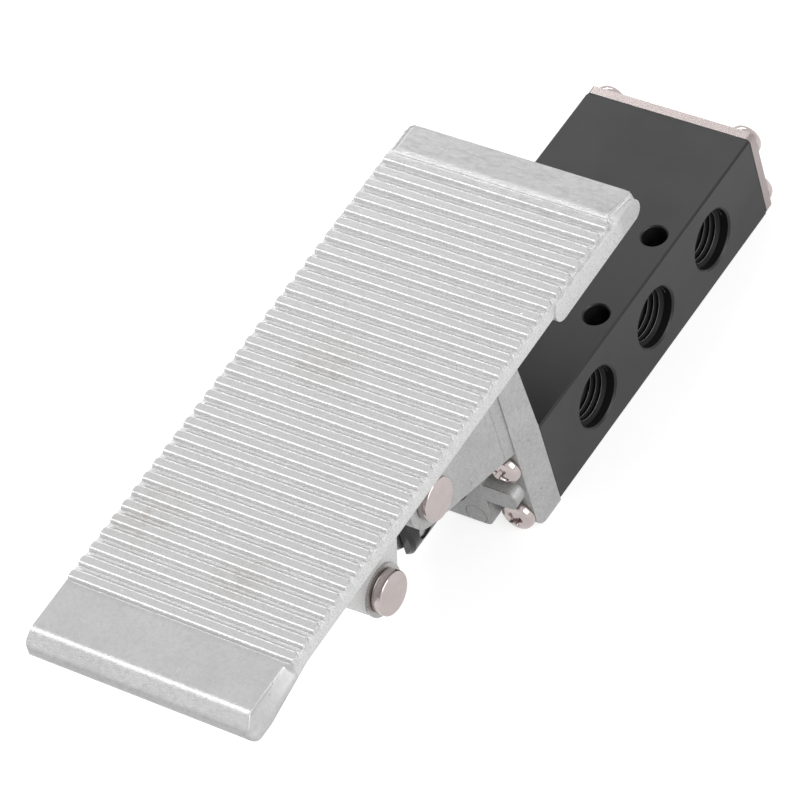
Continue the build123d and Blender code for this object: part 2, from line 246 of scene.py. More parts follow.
# Height band near the top of each rib that takes the painted highlight flecks
painted_highlight_heights = ((0.68, 0.76), (0.86, 0.9))
side_heights = (-0.3, -0.1)
side_change = 0.3
side_roughness = 0.46
rub_colour = (0.32, 0.25, 0.19)
rubs = (((-8, 12, plate_top), 9), ((-20, -34, plate_top), 10), ((6, -40, plate_top), 8))

# Light: the surroundings' level, and each lamp's place and size in millimetres and power in watts
world_level = 0.38
floor_glow = 0.75
floor_reach = 3000
floor_drop = 0.02
floor_grey = 0.5
floor_roughness = 0.9
lamp_aim = (0, -30, 35)
lamps = {
    "key_right": ((1150, -100, 640), (1000, 750), 8.0),
    "top_left": ((-500, -250, 880), (550, 480), 2.9),
    "strip_rear": ((-500, 610, 590), (900, 95), 1.8),
    "fill_front": ((-600, -760, 760), (800, 500), 0.5),
}


def body_with(node):
    """The name of the body that a CAD node rides on."""
    bodies = frame["record"]["behaviour"]["bodies"]
    return next(body for body, riders in bodies.items() if node in riders)


def pedal_point(x, u, w):
    """Row-frame millimetres of a point given in the pedal's tilted axes."""
    y = pivot_y + u * cos(pedal_tilt) - w * sin(pedal_tilt)
    z = pivot_height + u * sin(pedal_tilt) + w * cos(pedal_tilt)
    return x, y, z


def pedal_spot(y, z):
    """The pedal's along and up distances of a row-frame point in the side view."""
    along, up = y - pivot_y, z - pivot_height
    return (
        along * cos(pedal_tilt) + up * sin(pedal_tilt),
        up * cos(pedal_tilt) - along * sin(pedal_tilt),
    )


# Meshes


def added(name, data):
    """A new object in the scene that shows a mesh, a lamp or a camera."""
    thing = bpy.data.objects.new(name, data)
    bpy.context.scene.collection.objects.link(thing)
    return thing


def new_piece(name, points, faces, smooth_angle=None):
    """A mesh object from row-frame millimetre points, smooth except across sharp edges."""
    mesh = bpy.data.meshes.new(name)
    mesh.from_pydata([Vector(p) * MM for p in points], [], faces)
    mesh.validate()
    piece = added(name, mesh)
    if smooth_angle is not None:
        smooth(piece, smooth_angle)
    return piece


def smooth(piece, degrees):
    """Shades a mesh smoothly, keeping edges sharper than the angle."""
    mesh = piece.data
    mesh.polygons.foreach_set("use_smooth", [True] * len(mesh.polygons))
    work = bmesh.new()
    work.from_mesh(mesh)
    for edge in work.edges:
        edge.smooth = len(edge.link_faces) == 2 and edge.calc_face_angle(pi) <= radians(degrees)
    work.to_mesh(mesh)
    work.free()


def dress(piece, body, slot, *replaced):
    """Puts a finished piece on its body, gives it its slot's finish and hides the nodes it stands for."""
    piece.data.materials.clear()
    piece.data.materials.append(finishes[slot].material)
    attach(piece, body)
    if replaced:
        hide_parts(*replaced)


def bevelled(piece, width):
    """Rounds a piece's sharp edges by a small radius and bakes the result into its mesh."""
    modifier = piece.modifiers.new("rounding", "BEVEL")
    modifier.width = width * MM
    modifier.segments = bevel_segments
    modifier.limit_method = "ANGLE"
    modifier.angle_limit = radians(bevel_angle)
    modifier.harden_normals = False
    modifier.miter_outer = "MITER_ARC"
    graph = bpy.context.evaluated_depsgraph_get()
    rounded = bpy.data.meshes.new_from_object(piece.evaluated_get(graph))
    piece.modifiers.clear()
    piece.data = rounded
    smooth(piece, bevel_smooth_angle)
    return piece


def cad_copy(name, node, width):
    """A copy of a CAD node's mesh, cleaned and with its sharp edges softened."""
    mesh = cad_nodes[node].data.copy()
    mesh.name = name
    work = bmesh.new()
    work.from_mesh(mesh)
    bmesh.ops.remove_doubles(work, verts=work.verts, dist=weld_gap * MM)
    bmesh.ops.dissolve_limit(work, angle_limit=radians(flat_angle), verts=work.verts, edges=work.edges)
    work.to_mesh(mesh)
    work.free()
    return bevelled(added(name, mesh), width)


def joined(name, pieces):
    """Several pieces as one object, each keeping its own closed skin."""
    work = bmesh.new()
    for piece in pieces:
        work.from_mesh(piece.data)
        bpy.data.objects.remove(piece)
    mesh = bpy.data.meshes.new(name)
    work.to_mesh(mesh)
    work.free()
    return added(name, mesh)


def turn(a, b, c):
    """Twice the signed area of a flat triangle, positive where it turns left."""
    return (b[0] - a[0]) * (c[1] - a[1]) - (b[1] - a[1]) * (c[0] - a[0])


def hull_chain(points, upper):
    """The upper or lower side of flat points' convex hull, in order along it."""
    ordered = sorted(set((round(a, 6), round(b, 6)) for a, b in points), reverse=upper)
    chain = []
    for point in ordered:
        while len(chain) > 1 and turn(chain[-2], chain[-1], point) <= 1e-9:
            chain.pop()
        chain.append(point)
    return chain


def convex_outline(points):
    """The convex hull of flat points, in order round it."""
    return hull_chain(points, False)[:-1] + hull_chain(points, True)[:-1]


def circle(centre, radius, steps=48):
    """Flat points round a circle."""
    return [
        (centre[0] + radius * cos(2 * pi * n / steps), centre[1] + radius * sin(2 * pi * n / steps))
        for n in range(steps)
    ]


def prism(outline, x_low, x_high, place):
    """A flat outline run across from x_low to x_high; place maps (x, a, b) to the row frame."""
    count = len(outline)
    points = [place(x, a, b) for x in (x_low, x_high) for a, b in outline]
    faces = [[n, (n + 1) % count, count + (n + 1) % count, count + n] for n in range(count)]
    faces += [list(range(count))[::-1], list(range(count, 2 * count))]
    return new_piece("prism", points, faces)


def rounded_run(points, radius, steps=5):
    """A flat run of straight lines with its inner corners rounded by up to the radius."""
    run = [points[0]]
    for before, corner, after in zip(points, points[1:], points[2:]):
        away = [np.subtract(end, corner) for end in (before, after)]
        lengths = [np.hypot(*side) for side in away]
        cut = min(radius, *(longest_cut * length for length in lengths))
        start, end = (np.add(corner, side / length * cut) for side, length in zip(away, lengths))
        for t in np.linspace(0, 1, steps):
            run.append(tuple((1 - t) ** 2 * start + 2 * t * (1 - t) * np.array(corner) + t ** 2 * end))
    return run + [points[-1]]


def turned(name, profile, place, steps):
    """A closed turned piece from a profile of (radius, along), from one centre to the other."""
    inner = profile[1:-1]
    count = len(inner)
    points = [place(0, 0, profile[0][1])]
    for n in range(steps):
        angle = 2 * pi * n / steps
        points += [place(r * cos(angle), r * sin(angle), along) for r, along in inner]
    points.append(place(0, 0, profile[-1][1]))
    last = len(points) - 1
    faces = []
    for n in range(steps):
        a, b = 1 + n * count, 1 + (n + 1) % steps * count
        faces.append((0, a, b))
        faces += [(a + k, a + k + 1, b + k + 1, b + k) for k in range(count - 1)]
        faces.append((a + count - 1, last, b + count - 1))
    return new_piece(name, points, faces, turned_smooth_angle)


def smooth_max(a, b, radius):
    """The larger of two heights, with a fillet of about the radius where they cross."""
    share = np.clip(0.5 + 0.5 * (a - b) / radius, 0, 1)
    return b + (a - b) * share + radius * share * (1 - share)


def smooth_min(a, b, radius):
    """The smaller of two heights, with a rounded edge of about the radius where they cross."""
    return -smooth_max(-a, -b, radius)


def corner_cut(past, radius):
    """How far a rounded corner of the radius draws an end in, past the corner's start."""
    past = np.clip(past, 0, radius)
    return radius - np.sqrt(radius ** 2 - past ** 2)


# Pedal casting


def profile_heights(along, upper):
    """Heights of the pedal's upper or lower side, without ribs, at each distance along it."""
    nose = circle((pedal_front + nose_radius, plate_top - nose_drop), nose_radius, lip_circle_steps)
    if upper:
        chain = hull_chain(nose + [(lip_crease, plate_top), (lip_end, plate_top)], True)[::-1]
        flat = plate_top
    else:
        heel_centre = (lip_start + heel_offset, plate_top - heel_depth + heel_radius)
        heel = circle(heel_centre, heel_radius, lip_circle_steps)
        chain = hull_chain(nose + heel + [(lip_end, plate_top), (lip_end, plate_under)], False)
        chain = [point for point in chain if point != (lip_end, plate_top)]
        flat = plate_under
    heights = np.interp(along, [point[0] for point in chain], [point[1] for point in chain])
    return np.where(along >= lip_end, flat, heights)


def plate_top_heights(along):
    """The pedal's upper side, with a rounded crease where it falls away to the nose."""
    flat = np.full_like(along, plate_top)
    falling = profile_heights(along, True) + np.clip(along - lip_crease, 0, None) * crease_lift
    return smooth_min(flat, falling, crease_round)


def rib_heights(x, u):
    """Height of the nearest rib at each point: round in front, edged behind, round at its ends."""
    number = np.clip(np.round((u - first_rib) / rib_pitch), 0, rib_count - 1)
    off = u - first_rib - number * rib_pitch
    forward = np.clip(rib_crown_front - off, 0, rib_round)
    crown = plate_top + rib_height - rib_round + np.sqrt(rib_round ** 2 - forward ** 2)
    behind = plate_top + rib_height - (off - rib_rear) * rib_rear_slope
    front_cut = corner_cut(rib_front - off + rib_front_corner, rib_front_corner)
    rear_cut = corner_cut(off - rib_rear - rib_rear_reach + rib_rear_corner, rib_rear_corner)
    inside = rib_half_length - front_cut - rear_cut - np.abs(x)
    wall = plate_top - rib_root + inside * rib_end_slope
    height = smooth_min(smooth_min(crown, behind, rib_rear_round), wall, rib_edge_round)
    return np.where((inside > 0) & (off > rib_front), height, no_rib)


def rear_groove(past_flat, u):
    """Depth of the shallow groove just inside the rear flat's edges."""
    across = np.exp(-(((past_flat + groove_inset) / groove_width) ** 2))
    return groove_depth * across * np.clip((u - groove_start) / groove_fade, 0, 1)


def right_slope_width(u):
    """Width of the right side's slope: wide beside the flats, narrow beside the ribs and at the rear."""
    ribs_front = first_rib + rib_front
    ribs_rear = first_rib + rib_pitch * (rib_count - 1) + rib_rear + rib_height / rib_rear_slope
    places = (
        ribs_front - slope_change_front, ribs_front,
        ribs_rear, ribs_rear + slope_change_rear,
        pedal_rear - slope_change_end,
    )
    widths = (side_slope_width, rib_slope_width, rib_slope_width, side_slope_width, rear_slope_width)
    return np.interp(u, places, widths)


def corner_inset(u):
    """How far the plan outline's rounded corners draw the pedal's sides in, at each distance along it."""
    near_front = np.clip(pedal_front + plan_corner - u, 0, plan_corner)
    near_rear = np.clip(u - (pedal_rear - rear_plan_corner), 0, rear_plan_corner)
    return corner_cut(near_front, plan_corner) + corner_cut(near_rear, rear_plan_corner)


def side_positions():
    """Across positions of the grid's columns: fine over the rib ends and side slopes, coarse between."""
    fine = np.linspace(rib_half_length - rib_rear_corner - fine_margin, pedal_half_width, fine_columns)
    coarse = np.linspace(0, fine[0], coarse_columns)[:-1]
    half = np.concatenate([coarse, fine])
    return np.concatenate([-half[:0:-1], half])


def along_positions():
    """Along positions of the grid's rows: fine over the ribs and the lip's nose, coarse at the rear."""
    nose_turns = np.linspace(nose_first_turn, pi / 2, nose_rows)
    nose = pedal_front + nose_radius * (1 - np.cos(nose_turns))
    lip = np.linspace(nose[-1] + nose_gap, first_rib - rib_pitch / 2 - lip_gap, lip_rows)
    steps = np.linspace(-rib_pitch / 2, rib_pitch / 2, rib_rows + 1)[:-1]
    ribs = (first_rib + rib_pitch * np.arange(rib_count)[:, None] + steps[None, :]).ravel()
    ribs = np.append(ribs, ribs[-1] + steps[1] - steps[0])
    rear = np.linspace(ribs[-1] + rear_gap, pedal_rear - end_gap, rear_rows)
    return np.concatenate([nose, lip, ribs, rear])


def plate_heights(share, x, u, under):
    """Height of the plate's upper skin at each point: flats, side slopes, groove and ribs."""
    outer = np.abs(share) * pedal_half_width
    slope_width = np.where(share < 0, left_slope_width, right_slope_width(u))
    past_flat = outer - (pedal_half_width - slope_width)
    run = np.maximum(past_flat, 0) / slope_width
    turn_in = np.clip((outer - pedal_half_width) / slope_foot_round + 1, 0, 1)
    foot_drop = slope_foot_round * (1 - np.sqrt(1 - turn_in ** 2))
    side = plate_top - run * (plate_top - under - slope_foot_round) - foot_drop
    top = smooth_min(plate_top_heights(u) - rear_groove(past_flat, u), side, slope_top_round)
    return np.maximum(smooth_max(top, rib_heights(x, u), rib_foot_round), under + least_thickness)


def skin_faces(rows, columns):
    """Faces of the closed skin between an upper and a lower grid of points, numbered in that order."""
    half = rows * columns
    faces = []
    for row in range(rows - 1):
        for column in range(columns - 1):
            a = row * columns + column
            b, d, e = a + 1, a + columns, a + columns + 1
            faces.append((a, b, e, d))
            faces.append((half + a, half + d, half + e, half + b))
    rim = list(range(columns))
    rim += [row * columns + columns - 1 for row in range(1, rows)]
    rim += [(rows - 1) * columns + column for column in range(columns - 2, -1, -1)]
    rim += [row * columns for row in range(rows - 2, 0, -1)]
    for a, b in zip(rim, rim[1:] + rim[:1]):
        faces.append((a, half + a, half + b, b))
    return faces


def pedal_plate():
    """The plate with its lip, side slopes and ribs as one fine closed skin."""
    across, along = side_positions(), along_positions()
    columns, rows = len(across), len(along)
    u = np.repeat(along[:, None], columns, 1)
    share = np.repeat(across[None, :] / pedal_half_width, rows, 0)
    edge_inset = np.where(share < 0, left_plate_inset, plate_inset)
    x = share * (pedal_half_width - edge_inset - corner_inset(u))
    under = profile_heights(u, False)
    top = plate_heights(share, x, u, under)
    points = [pedal_point(*p) for skin in (top, under) for p in zip(x.ravel(), u.ravel(), skin.ravel())]
    return new_piece("plate", points, skin_faces(rows, columns), casting_smooth_angle)


def skirt_form():
    """Side-view points of a rear skirt, with its outer and inner distances."""
    front, rear = pedal_rear - skirt_length, pedal_rear
    top_front, top_rear = skirt_top_ends
    points = [(u, plate_under + skirt_ledge) for u in (front + top_front, rear - top_rear)]
    for u in (front + skirt_corner, rear - skirt_corner):
        points += circle((u, plate_under - skirt_depth + skirt_corner), skirt_corner)
    return points, pedal_half_width, pedal_half_width - skirt_thickness


def root_points(along):
    """Side-view points that sink a form's root a little into the plate."""
    return [(u, plate_under + root_overlap) for u in along]


def under_forms():
    """Side-view points, outer and inner distances of the lug, the pivot boss and the web on one side."""
    lug = circle(pedal_spot(link_pin_y, link_pin_height), lug_end_radius) + root_points(lug_root)
    boss = circle((0, 0), boss_radius) + root_points((-boss_root, boss_root))
    web_middle, web_end = boss_outer - boss_thickness / 2, pedal_rear - web_gap
    web = root_points((lip_end, web_end)) + [(u, plate_under) for u in (lip_end, web_end)]
    web += [(u, plate_under - web_depth) for u in (lug_root[0], pedal_rear - skirt_length)]
    return (
        (lug, lug_outer, lug_outer - lug_thickness),
        (boss, boss_outer, boss_outer - boss_thickness),
        (web, web_middle + web_thickness / 2, web_middle - web_thickness / 2),
    )


def across_prism(points, outer, inner, side):
    """The hull of side-view points, run across between two distances on one side of the pedal."""
    low, high = sorted((side * outer, side * inner))
    return prism(convex_outline(points), low, high, pedal_point)


def pedal_undersides():
    """Skirts, lugs, bosses and webs under the plate, as rounded prisms."""
    parts = [across_prism(*form, side) for side in (-1, 1) for form in under_forms()]
    skirts = [across_prism(*skirt_form(), side) for side in (-1, 1)]
    rounded = [bevelled(part, casting_round) for part in parts]
    return rounded + [bevelled(skirt, skirt_round) for skirt in skirts]


def build_pedal():
    """The whole pedal casting, in place of its CAD node."""
    casting = joined("pedal_casting", [pedal_plate()] + pedal_undersides())
    smooth(casting, casting_smooth_angle)
    dress(casting, body_with("pedal"), "cast_aluminium_pedal", "pedal")


# Screws and pins


def recess_depths(a, b):
    """Depth of a tapered cross recess at points across a screw head."""
    depths = []
    for along, across in ((np.abs(a), np.abs(b)), (np.abs(b), np.abs(a))):
        ends = (recess_reach - along) * recess_end_slope
        sides = (recess_half_width - across) * recess_side_slope
        depths.append(np.minimum(ends, sides))
    return np.clip(np.maximum(*depths), 0, recess_depth)


def screw_section(reach):
    """Radii and heights along a domed screw's section, and which of them the recess can cut."""
    shank = ((screw_head_radius, 0), (screw_radius, 0), (screw_radius, -reach), (0, -reach))
    profile = rounded_run([(0, screw_head_height), *screw_dome, *shank], screw_edge_round, screw_edge_steps)
    run = [np.hypot(b[0] - a[0], b[1] - a[1]) for a, b in zip(profile, profile[1:])]
    length = np.concatenate([[0], np.cumsum(run)])
    inner = np.linspace(*recess_rings)
    places = np.concatenate([inner, length[length > inner[-1]]])
    radii, heights = (np.interp(places, length, side) for side in zip(*profile))
    return radii, heights, np.arange(len(places)) < len(inner)


def pan_screw(name, place, reach, turned_by):
    """A domed screw with a tapered cross recess; place maps (across, up, out) to the row frame."""
    radii, heights, top = screw_section(reach)
    points = [place(0, 0, heights[0] - recess_depth)]
    rings = []
    for n in range(screw_steps):
        angle = 2 * pi * n / screw_steps
        a, b = radii * cos(angle), radii * sin(angle)
        out = heights - np.where(top, recess_depths(a, b), 0)
        across = a * cos(turned_by) - b * sin(turned_by)
        up = a * sin(turned_by) + b * cos(turned_by)
        rings.append(len(points))
        points += [place(*p) for p in zip(across, up, out)]
    faces = []
    for first, second in zip(rings, rings[1:] + rings[:1]):
        faces.append((0, first, second))
        for k in range(len(radii) - 1):
            faces.append((first + k, first + k + 1, second + k + 1, second + k))
    return new_piece(name, points, faces, turned_smooth_angle)


def build_screws():
    """Four screws at each end of the body, each turned by its own amount."""
    for node, facing in (("bracket_screws", -1), ("end_cover_screws", 1)):
        low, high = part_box(node)
        seat = (low[1] / MM + screw_head_height) if facing < 0 else (high[1] / MM - screw_head_height)
        reach = (high[1] - low[1]) / MM - screw_head_height - screw_end_gap
        for number, (x, z) in enumerate(screw_spots):
            def place(across, up, out, x=x, z=z, seat=seat, facing=facing):
                return x - facing * across, seat + facing * out, z + up

            screw = pan_screw(f"{node[:-1]}_{number + 1}", place, reach, radians(screw_turns[number]))
            dress(screw, body_with(node), "screw_nickel", node)


def build_pins():
    """The pivot and link pins, with rounded heads and their clip grooves."""
    for node in ("pivot_pin", "link_pin"):
        low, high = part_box(node)
        tail, face = low[0] / MM, high[0] / MM
        y, z = ((low[k] + high[k]) / 2 / MM for k in (1, 2))
        seat = face - pin_head_thickness
        clip_low, clip_high = (corner[0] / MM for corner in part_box(f"{node}_clip"))
        groove_low, groove_high = clip_low - clip_play, clip_high + clip_play
        shape = [
            (0, face), (pin_head_radius, face), (pin_head_radius, seat), (pin_radius, seat),
            (pin_radius, groove_high), (clip_groove_radius, groove_high),
            (clip_groove_radius, groove_low), (pin_radius, groove_low),
            (pin_radius, tail), (0, tail),
        ]

        def place(across, up, along, y=y, z=z):
            return along, y + across, z + up

        pin = turned(f"{node}_turned", rounded_run(shape, pin_edge_round), place, pin_steps)
        dress(pin, body_with(node), "pin_nickel", node)


# Threads in the ports


def thread(name, side, y):
    """The helical ridge of a port's internal thread, running in from its mouth, with a narrow flat crest.
    """
    turns = (thread_end - thread_start) / thread_pitch
    steps = int(turns * thread_steps)
    profile = (
        (thread_major, -thread_root), (thread_minor, -thread_crest),
        (thread_minor, thread_crest), (thread_major, thread_root),
    )
    points, faces = [], []
    for n in range(steps + 1):
        angle = side * 2 * pi * n / thread_steps
        depth = thread_start + thread_pitch * n / thread_steps
        taper = min(1, n / thread_run_in, (steps - n) / thread_run_in)
        for radius, offset in profile:
            r = thread_major + (radius - thread_major) * taper
            x = side * (body_half_width - depth - offset * thread_pitch * thread_share)
            points.append((x, y + r * cos(angle), port_height + r * sin(angle)))
    width = len(profile)
    for n in range(steps):
        for k in range(width - 1):
            a = n * width + k
            faces.append((a, a + 1, a + width + 1, a + width))
    return new_piece(name, points, faces, thread_smooth_angle)


def dress_thread(piece):
    """Puts a thread in its port: two flanks in a darker, duller finish as painted shade, with its crest
    between painted light as a painted highlight.
    """
    dress(piece, body_with("valve_body"), "black_anodised")
    # Painted shade on the flanks and a painted highlight on the crest.
    piece.data.materials[0] = shaded_thread_flank.material
    piece.data.materials.append(thread_crest_highlight.material)
    for face in piece.data.polygons:
        face.material_index = 1 if face.index % 3 == 1 else 0


def build_threads():
    """One threaded wall in each of the five ports."""
    for place, y in right_ports.items():
        dress_thread(thread(f"port_thread_right_{place}", 1, y))
    for place, y in left_ports.items():
        dress_thread(thread(f"port_thread_left_{place}", -1, y))


# Bracket and spring


def build_bracket():
    """The front bracket casting with its edges softened."""
    bracket = cad_copy("bracket_casting", "front_bracket", bracket_edge)
    dress(bracket, body_with("front_bracket"), "cast_aluminium_bracket", "front_bracket")


def build_spring():
    """The return spring's coil, copied from its CAD node with a mesh of its own; the real spring shortens
    towards its fixed rear end as the spool slides.
    """
    spring = added("return_spring_coil", cad_nodes["return_spring"].data.copy())
    dress(spring, body_with("return_spring"), "spring_steel", "return_spring")
    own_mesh(spring)


# Finishes


class Finish:
    """One procedural material, built from a few kinds of detail."""

    def __init__(self, name, colour, metallic=0.0, roughness=0.5, specular=0.5):
        self.material = bpy.data.materials.new(f"{name}_finish")
        self.material.use_nodes = True
        self.nodes = self.material.node_tree.nodes
        self.links = self.material.node_tree.links
        self.shader = self.nodes["Principled BSDF"]
        self.shader.inputs["Base Color"].default_value = (*colour, 1)
        self.shader.inputs["Metallic"].default_value = metallic
        self.shader.inputs["Roughness"].default_value = roughness
        self.shader.inputs["Specular IOR Level"].default_value = specular
        self.shader.inputs["IOR"].default_value = 1.5
        self.place = self.nodes.new("ShaderNodeTexCoord").outputs["Object"]
        self.base = colour
        self.colour = None
        self.normal = None

    def noise(self, size, detail=3.0, stretch=(1, 1, 1)):
        """Noise whose lumps are about size millimetres across."""
        mapping = self.nodes.new("ShaderNodeMapping")
        mapping.inputs["Scale"].default_value = stretch
        self.links.new(self.place, mapping.inputs["Vector"])
        texture = self.nodes.new("ShaderNodeTexNoise")
        texture.inputs["Scale"].default_value = 1 / (size * MM)
        texture.inputs["Detail"].default_value = detail
        self.links.new(mapping.outputs["Vector"], texture.inputs["Vector"])
        return texture.outputs["Fac"]

    def spots(self, spacing, radius):
        """Round spots, 1 at their middles and 0 outside them."""
        texture = self.nodes.new("ShaderNodeTexVoronoi")
        texture.inputs["Scale"].default_value = 1 / (spacing * MM)
        self.links.new(self.place, texture.inputs["Vector"])
        return self.ranged(texture.outputs["Distance"], 0, radius / spacing, 1, 0)

    def flat_distance(self, centre, keep):
        """Distance from a point in metres, counting only the axes that keep marks with 1."""
        from_centre = self.nodes.new("ShaderNodeVectorMath")
        from_centre.operation = "SUBTRACT"
        from_centre.inputs[1].default_value = centre
        self.links.new(self.place, from_centre.inputs[0])
        flattened = self.nodes.new("ShaderNodeVectorMath")
        flattened.operation = "MULTIPLY"
        flattened.inputs[1].default_value = keep
        self.links.new(from_centre.outputs["Vector"], flattened.inputs[0])
        length = self.nodes.new("ShaderNodeVectorMath")
        length.operation = "LENGTH"
        self.links.new(flattened.outputs["Vector"], length.inputs[0])
        return length.outputs["Value"]

    def along(self, axis, low, high, to_low, to_high):
        """A value that changes between two row-frame places in millimetres along an axis."""
        split = self.nodes.new("ShaderNodeSeparateXYZ")
        self.links.new(self.place, split.inputs["Vector"])
        return self.ranged(split.outputs[axis], low * MM, high * MM, to_low, to_high)

    def along_pedal(self, places, to_low, to_high):
        """A value that changes between two places along the pedal's plate."""
        low, high = (pedal_point(0, u, plate_top)[1] for u in places)
        return self.along("Y", low, high, to_low, to_high)

    def above_plate(self, low, high):
        """0 below and 1 above two heights over the pedal's plate in millimetres."""
        level = self.nodes.new("ShaderNodeVectorMath")
        level.operation = "DOT_PRODUCT"
        level.inputs[1].default_value = (0, -sin(pedal_tilt), cos(pedal_tilt))
        self.links.new(self.place, level.inputs[0])
        _, y, z = pedal_point(0, 0, plate_top)
        zero = z * cos(pedal_tilt) - y * sin(pedal_tilt)
        return self.ranged(level.outputs["Value"], (zero + low) * MM, (zero + high) * MM, 0, 1)

    def ranged(self, value, low, high, to_low, to_high):
        """The value with one range mapped on another and clamped."""
        node = self.nodes.new("ShaderNodeMapRange")
        sockets = ("From Min", "From Max", "To Min", "To Max")
        for socket, number in zip(sockets, (low, high, to_low, to_high)):
            node.inputs[socket].default_value = number
        self.links.new(value, node.inputs["Value"])
        return node.outputs["Result"]

    def rise(self, value, low, high, amount=1):
        """0 up to the low value, rising to the amount at the high one."""
        return self.ranged(value, low, high, 0, amount)

    def inverse(self, value):
        """1 where the value is 0, and 0 where it is 1."""
        return self.ranged(value, 0, 1, 1, 0)

    def times(self, first, second):
        """The product of two values."""
        node = self.nodes.new("ShaderNodeMath")
        node.operation = "MULTIPLY"
        self.links.new(first, node.inputs[0])
        self.links.new(second, node.inputs[1])
        return node.outputs["Value"]

    def tint(self, amount, colour):
        """Mixes a colour over the base where the amount says."""
        node = self.nodes.new("ShaderNodeMix")
        node.data_type = "RGBA"
        self.links.new(amount, node.inputs["Factor"])
        if self.colour is None:
            node.inputs["A"].default_value = (*self.base, 1)
        else:
            self.links.new(self.colour, node.inputs["A"])
        node.inputs["B"].default_value = (*colour, 1)
        self.colour = node.outputs["Result"]
        self.links.new(self.colour, self.shader.inputs["Base Color"])

    def rough(self, value):
        """Sets the roughness from a value."""
        self.links.new(value, self.shader.inputs["Roughness"])

    def bump(self, height, depth, strength=None):
        """Raises the surface by the height times depth millimetres, scaled by a strength value if given."""
        node = self.nodes.new("ShaderNodeBump")
        node.inputs["Strength"].default_value = 1.0
        if strength is not None:
            self.links.new(strength, node.inputs["Strength"])
        node.inputs["Distance"].default_value = depth * MM
        self.links.new(height, node.inputs["Height"])
        if self.normal is not None:
            self.links.new(self.normal, node.inputs["Normal"])
        self.normal = node.outputs["Normal"]
        self.links.new(self.normal, self.shader.inputs["Normal"])


def shade(colour, factor):
    """A colour made lighter or darker."""
    return tuple(channel * factor for channel in colour)


def cast_metal(name, colour, roughness, metallic, mottle):
    """Blasted cast aluminium: fine grain, mottling and small dark pits, as strong as mottle says."""
    finish = Finish(name, colour, metallic=metallic, roughness=roughness)
    broad = finish.noise(7.0, 4.0)
    finish.tint(finish.rise(broad, 0.4, 0.7, 0.6 * mottle), shade(colour, 0.86))
    middling = finish.noise(1.1, 3.0)
    finish.tint(finish.rise(middling, 0.45, 0.7, 0.5 * mottle), shade(colour, 0.82))
    fine = finish.noise(0.34, 3.0)
    finish.tint(finish.rise(fine, 0.5, 0.7, 0.5 * mottle), shade(colour, 1.16))
    pits = finish.times(finish.spots(2.8, 0.34), finish.rise(broad, 0.48, 0.56))
    finish.tint(finish.rise(pits, 0, 1, min(0.45 * mottle, 1)), shade(colour, 0.35))
    finish.bump(fine, 0.012 * mottle)
    finish.bump(middling, 0.015 * mottle)
    finish.bump(finish.inverse(pits), 0.05)
    return finish


def bracket_metal(name, colour, roughness, metallic):
    """The bracket's cast metal with the round mark of an ejector pin sunk in its pad."""
    finish = cast_metal(name, colour, roughness, metallic, 1.9)
    x, z = (place * MM for place in ejector_mark)
    away = finish.flat_distance((x, 0, z), (1, 0, 1))
    sunk = finish.rise(away, (ejector_radius - ejector_edge) * MM, ejector_radius * MM)
    on_pad = finish.along("Y", *(pad_front + reach for reach in ejector_reach), 1, 0)
    finish.bump(finish.times(sunk, on_pad), ejector_depth)
    return finish


def grain_ribs_and_paint_light(finish, colour, grain):
    """Grains the ribs' field and paints light on it: the field lighter as painted light, lighter still low
    between the ribs as painted light over their shade, and light flecks on the ribs' edges as a painted
    highlight.
    """
    ribbed = finish.times(
        finish.along_pedal(ribbed_from, 0, 1),
        finish.along_pedal(ribbed_to, 1, 0),
    )
    # Painted light: the whole ribbed field is made lighter.
    finish.tint(ribbed, shade(colour, 1.08))
    # Painted light: low between the ribs the colour is lightened further over their shade; the same mask
    # also strengthens the grain bump there.
    low_painted_light_and_grain = finish.times(ribbed, finish.inverse(finish.above_plate(*painted_light_and_grain_heights)))
    finish.tint(low_painted_light_and_grain, shade(colour, 1.31))
    finish.tint(finish.times(ribbed, finish.rise(grain, 0.5, 0.62, 0.6)), shade(colour, 0.8))
    finish.bump(grain, 0.11, low_painted_light_and_grain)
    finish.bump(grain, 0.03, ribbed)
    # Painted highlight: light flecks along a band near the top of each rib's edges.
    low, high = painted_highlight_heights
    edge = finish.times(finish.above_plate(*low), finish.inverse(finish.above_plate(*high)))
    painted_highlight_flecks = finish.times(edge, finish.rise(finish.noise(0.45, 3.0), 0.5, 0.58, 0.85))
    finish.tint(painted_highlight_flecks, shade(colour, 1.75))


def streak_rear(finish, colour):
    """Streaks the flat behind the ribs."""
    flow = finish.noise(0.9, 5.0, stretch=(0.4, 1, 1))
    behind = finish.along_pedal(streaked_from, 0, 1)
    finish.tint(finish.times(behind, finish.rise(flow, 0.5, 0.66, 0.4)), shade(colour, 0.7))
    finish.bump(flow, 0.05, behind)


def dull_sides(finish, roughness):
    """Makes the right side's slope duller than the plate's top."""
    slope_start = pedal_half_width - side_slope_width
    sides = finish.times(
        finish.along("X", slope_start, slope_start + side_change, 0, 1),
        finish.inverse(finish.above_plate(*side_heights)),
    )
    finish.rough(finish.ranged(sides, 0, 1, roughness, side_roughness))


def grain_lip(finish, colour, grain):
    """Grains and clouds the lip's nose."""
    lip = finish.along_pedal(lip_grain_to, 1, 0)
    finish.bump(grain, 0.05, lip)
    cloud = finish.rise(finish.noise(1.3, 5.0), 0.5, 0.62, 0.5)
    finish.tint(finish.times(lip, cloud), shade(colour, 0.8))


def rub_plate(finish):
    """Leaves faint brown rubs on the plate."""
    for place, radius in rubs:
        away = finish.flat_distance([side * MM for side in pedal_point(*place)], (1, 1, 1))
        stain = finish.ranged(away, 0, radius * MM, 1, 0)
        cloud = finish.rise(finish.noise(2.0, 3.0), 0.4, 0.65, 0.3)
        finish.tint(finish.times(stain, cloud), rub_colour)


